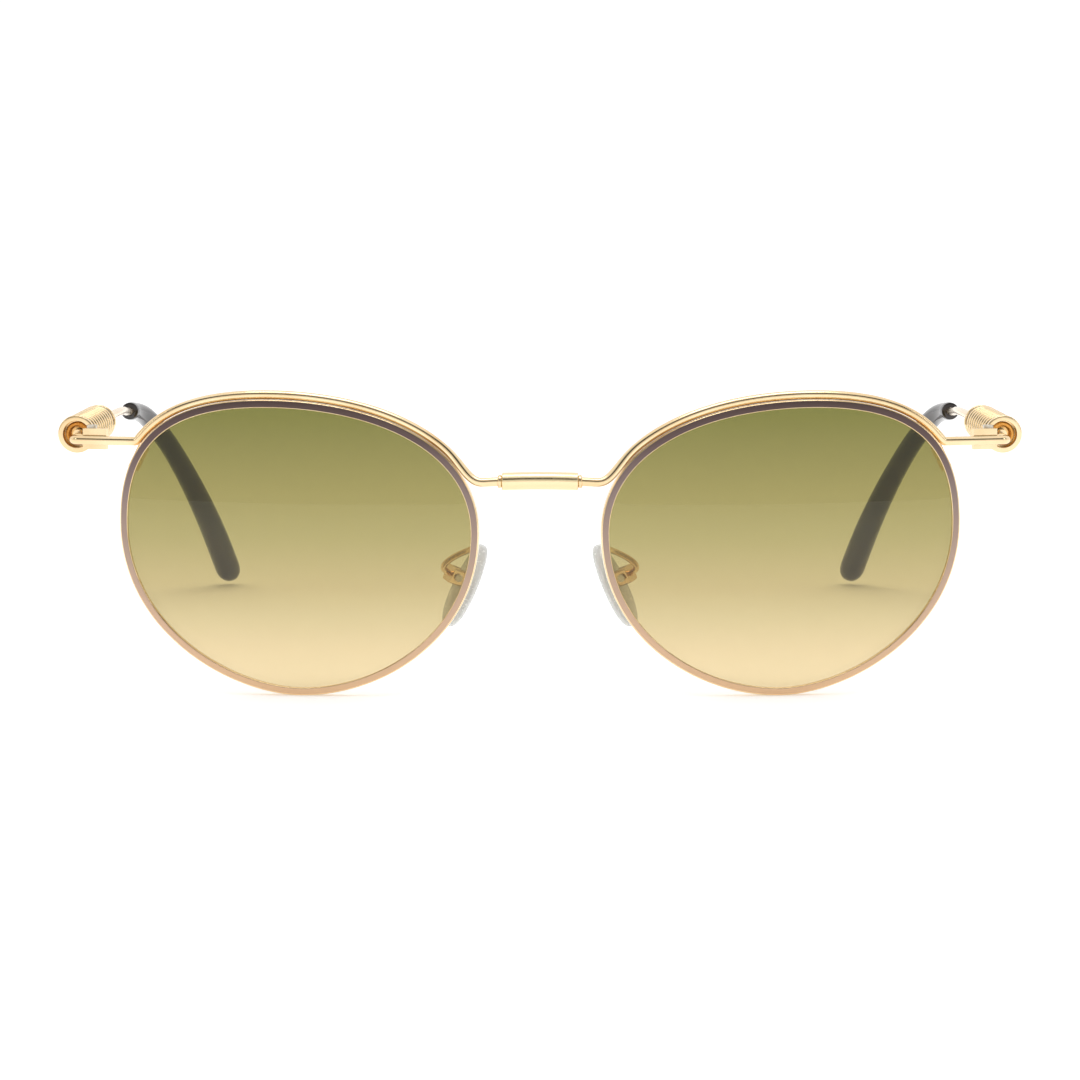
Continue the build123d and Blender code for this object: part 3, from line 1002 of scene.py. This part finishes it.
@dataclass
class Barrel:
    """The coil-wrapped spring barrel behind each hinge, made about its own axis for the left half.

    Attributes:
        finishes: The materials.
        inward: Turn of its axis towards the face, in radians.
        upward: Rise of its axis, in radians.
        mouth_out: Middle of its mouth, outboard of the hinge pin.
        mouth_back: Middle of its mouth, behind the pin.
        mouth_up: Middle of its mouth, above the middle of the hinge.
        flange: Radius of the ring round the mouth.
        flange_length: Thickness of that ring.
        tube: Radius of the barrel under the coil.
        length: Length of the barrel.
        mouth: Radius of the open mouth.
        mouth_depth: Depth of the mouth.
        bore: Radius of the hole in the mouth's floor.
        web: Thickness of that floor.
        chamber: Radius of the spring chamber.
        coil_wire: Radius of the coil's wire.
        coil_gap: Space at each end of the coil.
        coil_clear: Space between the coil and the barrel.
        turns: Turns of the coil.
        flatten: How much wider the coil's wire is along the barrel than it is thick.
        ferrule: Radius of the rear ferrule.
        ferrule_flange: Length of its ring.
        ferrule_nose: Length of its cone.
        plug: Length that it goes into the barrel.
        rod: Radius of the temple rod.
    """

    finishes: Finishes
    inward: float = math.radians(4.6)
    upward: float = math.radians(1.9)
    mouth_out: float = 2.5 * MM
    mouth_back: float = 1.6 * MM
    mouth_up: float = 0.4 * MM
    flange: float = 2.76 * MM
    flange_length: float = 1.0 * MM
    tube: float = 1.8 * MM
    length: float = 15.6 * MM
    mouth: float = 2.2 * MM
    mouth_depth: float = 2.2 * MM
    bore: float = 0.68 * MM
    web: float = 0.8 * MM
    chamber: float = 1.42 * MM
    coil_wire: float = 0.45 * MM
    coil_gap: float = 0.1 * MM
    coil_clear: float = 0.03 * MM
    turns: float = 9.5
    flatten: float = 1.1
    ferrule: float = 2.6 * MM
    ferrule_flange: float = 0.8 * MM
    ferrule_nose: float = 2.8 * MM
    plug: float = 2.0 * MM
    rod: float = 0.65 * MM

    @property
    def axis(self) -> Vector:
        """Direction of the barrel, back along the temple."""
        flat = math.cos(self.upward)
        x, y = -math.sin(self.inward) * flat, math.cos(self.inward) * flat
        return Vector((x, y, math.sin(self.upward)))

    @property
    def origin(self) -> Vector:
        """Middle of the barrel's mouth."""
        low, high = (Vector(corner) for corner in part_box("hinge_screw_left"))
        pin = (low + high) / 2
        leaf_low, leaf_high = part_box("hinge_front_leaf_left")
        level = (leaf_low[2] + leaf_high[2]) / 2
        return Vector((pin.x + self.mouth_out, pin.y + self.mouth_back, level + self.mouth_up))

    @property
    def place(self) -> Matrix:
        """Transform from the barrel's own axes, z back along it, to the frame."""
        turn = Vector((0, 0, 1)).rotation_difference(self.axis).to_matrix().to_4x4()
        return Matrix.Translation(self.origin) @ turn

    def build(self) -> None:
        """Make both barrels with their coils and ferrules."""
        for side in Side:
            self.body(side)
            self.coil(side)
            self.rear_ferrule(side)

    def body(self, side: Side) -> None:
        """Make the barrel with its flange and dished mouth."""
        lip = 0.22 * MM
        dish = []
        count = 7
        for step in range(count + 1):
            t = step / count
            radius = self.mouth + (self.bore - self.mouth) * (1 - math.cos(t * math.pi / 2))
            dish.append((radius - lip * (1 - t), self.mouth_depth * math.sin(t * math.pi / 2)))
        back = self.mouth_depth + self.web
        outside = [
            (self.bore, back),
            (self.chamber, back),
            (self.chamber, self.length),
            (self.tube, self.length),
            (self.tube, self.flange_length),
            (self.flange, self.flange_length),
            (self.flange, 0),
            (self.mouth - lip, 0),
        ]
        edge = 0.3 * MM
        outside = rounded(outside, [0, 0, 0, 0, 0, edge, edge, 0.1 * MM])
        mesh = turned(outside + dish, 72)
        place = side.flip @ self.place
        piece = finish_mesh(f"barrel_body_{side.label}", mesh, place, self.finishes.gold)
        settle(piece, f"temple_{side.label}", "gold_plate", f"hinge_barrel_{side.label}")

    def coil(self, side: Side) -> None:
        """Make the close-wound coil; its wire is wider along the barrel than it is thick."""
        start, end = self.flange_length + self.coil_gap, self.length - self.coil_gap
        radius = self.tube + self.coil_clear + self.coil_wire
        half_width = self.coil_wire * self.flatten
        first, last = (start + half_width) / self.flatten, (end - half_width) / self.flatten
        points_in_turn = 28
        count = int(self.turns * points_in_turn)
        points = []
        for step in range(count + 1):
            t = step / count
            angle = t * self.turns * math.tau
            x, y = radius * math.cos(angle), radius * math.sin(angle)
            points.append(Vector((x, y, first + (last - first) * t)))
        mesh = tube_mesh(points, self.coil_wire, sides=4, steps=1)
        # The crest runs from 0 on the wire's inner side to 1 at its crest; the wound finish paints
        # shade where it is low, in the grooves between the turns.
        crest = mesh.verts.layers.float.new(Guide.CREST.value)
        for vert in mesh.verts:
            vert[crest] = (vert.co.xy.length - radius + self.coil_wire) / (2 * self.coil_wire)
        bmesh.ops.scale(mesh, vec=(1, 1, self.flatten), verts=mesh.verts)
        place = side.flip @ self.place
        piece = finish_mesh(f"barrel_winding_{side.label}", mesh, place, self.finishes.wound)
        settle(piece, f"temple_{side.label}", "gold_plate", f"barrel_coil_{side.label}")

    def rear_ferrule(self, side: Side) -> None:
        """Make the ferrule that closes the barrel and holds the temple rod."""
        bore, plug = self.rod + SLIP, self.chamber - SLIP
        seat, shoulder = self.length + SLIP, self.length + self.ferrule_flange
        end = shoulder + self.ferrule_nose
        corners = [
            (bore, self.length - self.plug),
            (plug, self.length - self.plug),
            (plug, seat),
            (self.ferrule, seat),
            (self.ferrule, shoulder),
            (self.tube, shoulder),
            (self.rod + 0.25 * MM, end),
            (bore, end),
        ]
        radii = [0, 0, 0, 0.25 * MM, 0.25 * MM, 0.15 * MM, 0.1 * MM, 0]
        mesh = turned(rounded(corners, radii), 64)
        place = side.flip @ self.place
        piece = finish_mesh(f"rear_ferrule_{side.label}", mesh, place, self.finishes.gold)
        settle(piece, f"temple_{side.label}", "gold_plate", f"barrel_ferrule_{side.label}")


@dataclass
class Temple:
    """Temple rod and ear tip, made for the left half.

    Attributes:
        barrel: The barrel that the rod leaves.
        finishes: The materials.
        front: Plane of the lens fronts, along Y.
        rod: Radius of the rod.
        length: From the lens fronts to the back of the tip.
        drop_length: Part of that which the tip covers.
        mouth_x: Middle of the tip's mouth, from the middle plane.
        turn_in: End of the tip, inboard of its mouth.
        fall: Mouth of the tip, below the middle of the hinge.
        mouth: Radius of the tip at its mouth.
        bend: Radius of the tip at its bend.
        end_width: Half the width of the tip near its end.
        end_height: Half its thickness there.
        course: Places along the tip's middle, as shares of its turn in, its run and its drop.
        end_course: Place that the tip's end points away from.
        rod_ease: Straightness of the rod's long bend, at both ends.
    """

    barrel: Barrel
    finishes: Finishes
    front: float
    rod: float = 0.65 * MM
    length: float = 131 * MM
    drop_length: float = 43 * MM
    mouth_x: float = 69 * MM
    turn_in: float = 13.2 * MM
    fall: float = 2.1 * MM
    mouth: float = 1.45 * MM
    bend: float = 1.7 * MM
    end_width: float = 2.2 * MM
    end_height: float = 1.65 * MM
    course: tuple[tuple[float, float, float], ...] = (
        (0.13, 0.22, 0.05),
        (0.40, 0.42, 0.24),
        (0.74, 0.70, 0.60),
    )
    end_course: tuple[float, float, float] = (0.80, 0.72, 0.64)
    rod_ease: float = 0.35

    @property
    def tip_mouth(self) -> Vector:
        """Middle of the tip's mouth."""
        level = self.barrel.origin.z - self.barrel.mouth_up
        return Vector((self.mouth_x, self.front + self.length - self.drop_length, level - self.fall))

    @property
    def rod_bend(self) -> Vector:
        """Where the rod leaves the barrel's line."""
        barrel = self.barrel
        reach = barrel.length + barrel.ferrule_flange + barrel.ferrule_nose + 2 * self.rod
        return barrel.origin + barrel.axis * reach

    @property
    def rod_line(self) -> Vector:
        """Direction of the rod where it enters the tip."""
        return (self.tip_mouth - self.rod_bend).normalized()

    def tip_line(self, count: int) -> list[Vector]:
        """Points along the middle of the tip, from its mouth to its end.

        Args:
            count: Steps between the points.

        Returns:
            The points, evenly spaced.
        """
        mouth = self.tip_mouth
        foot = Vector(
            (
                self.mouth_x - self.turn_in,
                self.front + self.length - 0.4 * self.end_width,
                self.end_height / 2,
            )
        )
        run, drop = foot.y - mouth.y, mouth.z - foot.z
        stops = [
            mouth + Vector((-turn * self.turn_in, back * run, -down * drop))
            for turn, back, down in (*self.course, self.end_course)
        ]
        knots = [mouth, *stops[:-1], foot]
        inner = [(b - a).normalized() for a, b in zip(knots, knots[2:])]
        slopes = [self.rod_line, *inner, (foot - stops[-1]).normalized()]
        dense = []
        for a, b, ta, tb in zip(knots, knots[1:], slopes, slopes[1:]):
            dense += [a] + bend_points(a, ta, 1 / 3, b, tb, 1 / 3)
        dense.append(foot)
        total = [0.0]
        for a, b in zip(dense, dense[1:]):
            total.append(total[-1] + (b - a).length)
        points = []
        for step in range(count + 1):
            goal = total[-1] * step / count
            i = max(k for k, so_far in enumerate(total) if so_far <= goal)
            i = min(i, len(dense) - 2)
            span = total[i + 1] - total[i]
            points.append(dense[i].lerp(dense[i + 1], (goal - total[i]) / span))
        return points

    def build(self) -> None:
        """Make both rods and tips."""
        for side in Side:
            self.rod_piece(side)
            self.tip(side)

    def rod_piece(self, side: Side) -> None:
        """Make the drawn rod, from inside the ferrule to inside the tip."""
        inside = self.barrel.length - self.barrel.plug
        start = self.barrel.origin + self.barrel.axis * inside
        mouth = self.tip_mouth
        points = [start, start.lerp(self.rod_bend, 0.5), self.rod_bend]
        ease = self.rod_ease
        points += bend_points(self.rod_bend, self.barrel.axis, ease, mouth, self.rod_line, ease)
        points += self.tip_line(30)[:24]
        mesh = tube_mesh(points, self.rod, sides=5, steps=4)
        piece = finish_mesh(f"temple_wire_{side.label}", mesh, side.flip, self.finishes.gold)
        settle(piece, f"temple_{side.label}", "gold_plate", f"temple_rod_{side.label}")

    def half_sizes(self, share: float) -> tuple[float, float]:
        """Half width and half height of the tip.

        Args:
            share: Place along the tip, from 0 at its mouth to 1 at its end.

        Returns:
            The two half sizes, before the end is rounded.
        """
        swell = self.mouth + (self.bend - self.mouth) * min(1, share / 0.25)
        late = max(0.0, (share - 0.3) / 0.6)
        ease = min(1.0, late) ** 2 * (3 - 2 * min(1.0, late))
        return swell + (self.end_width - swell) * ease, swell + (self.end_height - swell) * ease

    def tip(self, side: Side) -> None:
        """Make the polished ear tip with a rounded end and an eased mouth."""
        count = 60
        line = self.tip_line(count)
        stations = []
        for i, point in enumerate(line):
            share = i / count
            along = (line[min(i + 1, count)] - line[max(i - 1, 0)]).normalized()
            across = Vector((0, 1, 0)).cross(along).normalized()
            upward = along.cross(across)
            width, height = self.half_sizes(share)
            end_zone = 0.06
            if share > 1 - end_zone:
                into = (share - 1 + end_zone) / end_zone
                close = math.sqrt(max(0.0, 1 - into**2 * 0.999))
                width, height = width * close, height * close
            stations.append(Station(point, across, upward, width, height))
        first = stations[0]
        inward = first.across.cross(first.upward)
        lips = [(0.0, 0.5), (0.0, 0.86), (0.05 * MM, 0.95), (0.16 * MM, 0.995)]
        mouth = []
        for back, share in lips:
            middle, width = first.middle + inward * back, first.width * share
            mouth.append(replace(first, middle=middle, width=width, height=first.height * share))
        mesh = lofted(mouth + stations[1:])
        piece = finish_mesh(f"ear_tip_{side.label}", mesh, side.flip, self.finishes.acetate)
        settle(piece, f"temple_{side.label}", "tip_acetate", f"temple_tip_{side.label}")


@dataclass
class NosePads:
    """Silicone nose pads on their wire arms, made for the left half.

    Attributes:
        shape: The lens oval.
        finishes: The materials.
        out: Middle of the pad, outboard of the inner side of the rim.
        back: Middle of the pad, behind the lens fronts.
        drop: Middle of the pad, below the middle of the lens.
        slip: Middle of the pad, below its box along the pad.
        length: Length of the pad.
        width: Width of the pad.
        thickness: Thickness of the pad.
        frontal: Lean of the pad as seen from the front, in radians.
        splay: Turn of the pad as seen from above, in radians.
        box_depth: Depth of the pad's metal box.
        box_gap: Space between pad and box.
        tab: Width of the tab that goes into the box.
        tab_length: Its length along the pad.
        tab_foot: Its end, beyond the middle of the pad screw.
        arm: Radius of the arm's wire.
        arm_gap: Space between the arm and the back of the box.
        arm_ease: Straightness of the arm's bend, at the rim and at the pad.
        foot_in: Foot of the arm, in from the inner side of the rim.
        foot_back: Foot of the arm, behind the lens surface.
    """

    shape: LensShape
    finishes: Finishes
    out: float = 1.7 * MM
    back: float = 10.2 * MM
    drop: float = 5.6 * MM
    slip: float = 0.9 * MM
    length: float = 13 * MM
    width: float = 7.4 * MM
    thickness: float = 2.2 * MM
    frontal: float = math.radians(24.8)
    splay: float = math.radians(30)
    box_depth: float = 1.9 * MM
    box_gap: float = 0.35 * MM
    tab: float = 1.1 * MM
    tab_length: float = 1.9 * MM
    tab_foot: float = 0.54 * MM
    arm: float = 0.45 * MM
    arm_gap: float = 0.03 * MM
    arm_ease: tuple[float, float] = (0.55, 0.45)
    foot_in: float = 0.575 * MM
    foot_back: float = 1.58 * MM

    @property
    def place(self) -> Matrix:
        """Transform from the pad's own axes, x up along it and z away from the nose, to the frame."""
        upward = Vector((-math.sin(self.frontal), 0, math.cos(self.frontal)))
        along = Vector((math.sin(self.splay), math.cos(self.splay), 0))
        away = along.cross(upward).normalized()
        turn = Matrix((upward, away.cross(upward), away)).transposed().to_4x4()
        shape = self.shape
        middle = (shape.gap / 2 + self.out, shape.front + self.back, shape.height / 2 - self.drop)
        return Matrix.Translation(middle) @ turn

    def build(self) -> None:
        """Make both pads and arms."""
        for side in Side:
            self.pad(side)
            self.arm_wire(side)

    def pad(self, side: Side) -> None:
        """Make one drop-shaped pad with crowned faces and the tab on its back."""
        big, small = self.width / 2, self.width / 3
        across, upward = Vector((0, 1, 0)), Vector((0, 0, 1))
        count, tiny = 36, 0.01 * MM
        stations = []
        for step in range(count + 1):
            angle = math.pi * step / count
            x = -math.cos(angle) * self.length / 2 - self.slip
            share = step / count
            belly = math.sin(angle) ** 0.8
            half = (big + (small - big) * share) * belly * 1.03
            thick = self.thickness / 2 * math.sin(angle) ** 0.5
            middle = Vector((x, 0, 0))
            stations.append(Station(middle, across, upward, max(half, tiny), max(thick, tiny)))
        mesh = lofted(stations, 48)
        post = bmesh.ops.create_cube(mesh, size=1)["verts"]
        reach = self.thickness / 2 + self.box_gap + self.box_depth / 2 + self.tab_foot
        bmesh.ops.scale(mesh, vec=(self.tab_length, self.tab, reach), verts=post)
        bmesh.ops.translate(mesh, vec=(0, 0, reach / 2), verts=post)
        place = side.flip @ self.place
        piece = finish_mesh(f"silicone_pad_{side.label}", mesh, place, self.finishes.silicone)
        settle(piece, f"pad_{side.label}", "pad_silicone", f"nose_pad_{side.label}")

    def arm_wire(self, side: Side) -> None:
        """Make the bent wire from the eyewire to the pad's box."""
        shape = self.shape
        foot_x = -shape.width / 2 + self.foot_in
        foot = shape.place @ Vector((foot_x, 0, -shape.sag(foot_x, 0) - self.foot_back))
        backward = -(shape.place.to_3x3() @ Vector((0, 0, 1)))
        away = self.place.to_3x3() @ Vector((0, 0, 1))
        head_depth = self.thickness / 2 + self.box_gap + self.box_depth + self.arm_gap
        head = self.place @ Vector((0, 0, head_depth))
        low, high = (Vector(corner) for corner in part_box("pad_arm_left"))
        foot.z = min(max(foot.z, low.z), high.z - self.arm)
        near, far = self.arm_ease
        points = [foot, *bend_points(foot, backward, near, head, -away, far), head]
        mesh = tube_mesh(points, self.arm, sides=5, steps=6)
        piece = finish_mesh(f"pad_arm_wire_{side.label}", mesh, side.flip, self.finishes.gold)
        settle(piece, "front", "gold_plate", f"pad_arm_{side.label}")


@dataclass
class SmallParts:
    """CAD nodes of the frame, each of which takes a finish.

    Attributes:
        nodes: The frame's nodes by name.
        slots: The record's material slot of each node, by the node's name.
        finishes: The materials.
    """

    nodes: dict[str, bpy.types.Object]
    slots: dict[str, str]
    finishes: Finishes

    def build(self) -> None:
        """Give every CAD node the finish of its material slot."""
        finish_by_slot = {
            "gold_plate": self.finishes.gold,
            "rim_enamel": self.finishes.enamel,
            "gradient_lens": self.finishes.lens,
            "pad_silicone": self.finishes.silicone,
            "tip_acetate": self.finishes.acetate,
            "screw_steel": self.finishes.steel,
            "spring_steel": self.finishes.steel,
        }
        for name, node in self.nodes.items():
            finish = finish_by_slot[self.slots.get(name, "gold_plate")]
            for slot in node.material_slots:
                slot.material = finish
            log.info("%s: finished as %s", name, finish.name)


# ---- the studio ----------------------------------------------------------------------------------


@dataclass(frozen=True)
class Softbox:
    """One area light.

    Attributes:
        name: The light's name.
        place: Where it stands.
        size: Its width and height.
        power: Its power in watts.
    """

    name: str
    place: tuple[float, float, float]
    size: tuple[float, float]
    power: float

    def build(self, aim: Vector) -> None:
        """Make the light, turned to face a point."""
        data = bpy.data.lights.new(self.name, "AREA")
        data.shape = "RECTANGLE"
        data.size, data.size_y = self.size
        data.energy = self.power
        lamp = bpy.data.objects.new(self.name, data)
        lamp.location = self.place
        lamp.rotation_euler = (aim - Vector(self.place)).to_track_quat("-Z", "Y").to_euler()
        bpy.context.scene.collection.objects.link(lamp)


@dataclass
class Studio:
    """A white table and sweep, soft light and the camera.

    Attributes:
        front: Plane of the lens fronts, along Y.
        distance: From the camera to that plane, along its line of sight.
        elevation: The camera's height angle, in radians.
        aim_height: Height that the camera looks at.
        focal: Focal length in millimetres on a 36 mm frame.
    """

    front: float
    distance: float = 500 * MM
    elevation: float = math.radians(6.5)
    aim_height: float = 22.8 * MM
    focal: float = 116.17

    def build(self) -> None:
        """Make the camera, the table, the sky and the lights."""
        self.camera()
        self.table()
        self.sky()
        aim = Vector((0, 0, 20 * MM))
        for lamp in (
            Softbox("top_softbox", (0, -0.12, 0.75), (0.5, 0.15), 1.0),
            Softbox("left_softbox", (-0.8, -0.4, 0.5), (0.15, 0.4), 0.5),
            Softbox("right_softbox", (0.8, -0.4, 0.5), (0.15, 0.4), 0.5),
        ):
            lamp.build(aim)

    def camera(self) -> None:
        """Make the camera."""
        data = bpy.data.cameras.new("camera")
        data.lens = self.focal
        data.sensor_width = 36
        data.clip_start = 0.01
        camera = bpy.data.objects.new("camera", data)
        aim = Vector((0, self.front, self.aim_height))
        back = Vector((0, -math.cos(self.elevation), math.sin(self.elevation)))
        camera.location = aim + back * self.distance
        camera.rotation_euler = (-back).to_track_quat("-Z", "Y").to_euler()
        bpy.context.scene.collection.objects.link(camera)
        bpy.context.scene.camera = camera

    def table(self) -> None:
        """Make the white table top."""
        mesh = bmesh.new()
        bmesh.ops.create_grid(mesh, x_segments=1, y_segments=1, size=6)
        material, tree = new_tree("white_table")
        place = add_node(tree, "ShaderNodeTexCoord").outputs["Object"]
        tone = colour_ramp(tree, noise(tree, place, 3.0), [(0.0, "fafafa"), (1.0, "fdfdfd")])
        settings = {
            "in:Roughness": 0.9,
            "in:Specular IOR Level": 0.1,
            "in:Emission Color": (1, 1, 1, 1),
            "in:Emission Strength": 0.3,
        }
        surface(tree, settings, {"Base Color": tone})
        table = finish_mesh("table_top", mesh, Matrix.Translation((0, 0, -0.02 * MM)), material)

    def sky(self) -> None:
        """Make the white surround, darker behind the camera so that metal has something to mirror."""
        world = bpy.data.worlds.new("white_room")
        bpy.context.scene.world = world
        bpy.context.scene.view_settings.view_transform = "Standard"
        world.use_nodes = True
        tree = world.node_tree
        tree.nodes.clear()
        place = add_node(tree, "ShaderNodeTexCoord").outputs["Generated"]
        split = add_node(tree, "ShaderNodeSeparateXYZ", links={"Vector": place})
        heights = mapped(tree, split.outputs["Z"], From_Min=-1.0)
        bands = [
            (0.0, "e0e0e0"),
            (0.66, "e4e4e2"),
            (0.72, "2e2c26"),
            (0.83, "2e2c26"),
            (0.90, "f4f4f4"),
            (1.0, "ffffff"),
        ]
        beyond = mapped(tree, split.outputs["Y"], From_Min=-0.15, From_Max=0.1)
        links = {"Fac": beyond, "Color1": colour_ramp(tree, heights, bands)}
        sky = add_node(tree, "ShaderNodeMixRGB", {"in:Color2": (1, 1, 1, 1)}, links)
        glow = {"Color": sky.outputs["Color"]}
        back = add_node(tree, "ShaderNodeBackground", {"in:Strength": 1.05}, glow)
        add_node(tree, "ShaderNodeOutputWorld", links={"Surface": back.outputs["Background"]})


def main() -> None:
    """Build the looks of the glasses around the frame."""
    logging.basicConfig(level=logging.INFO, format="%(message)s")
    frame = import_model()
    slots = {part["node"]: part["material_slot"] for part in frame["record"]["subparts"]}

    sleeve_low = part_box("bridge_sleeve")[0]
    front_plane = sleeve_low[1] + Front.sleeve - Front.bridge_y
    rim_low, rim_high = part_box("rim_left")

    Studio(front_plane).build()
    finishes = Finishes(rim_low[2], rim_high[2])
    SmallParts(frame["nodes"], slots, finishes).build()
    shape = LensShape(front_plane)
    Front(shape, finishes).build()
    barrel = Barrel(finishes)
    barrel.build()
    Temple(barrel, finishes, front_plane).build()
    NosePads(shape, finishes).build()


if __name__ == "__main__":
    main()
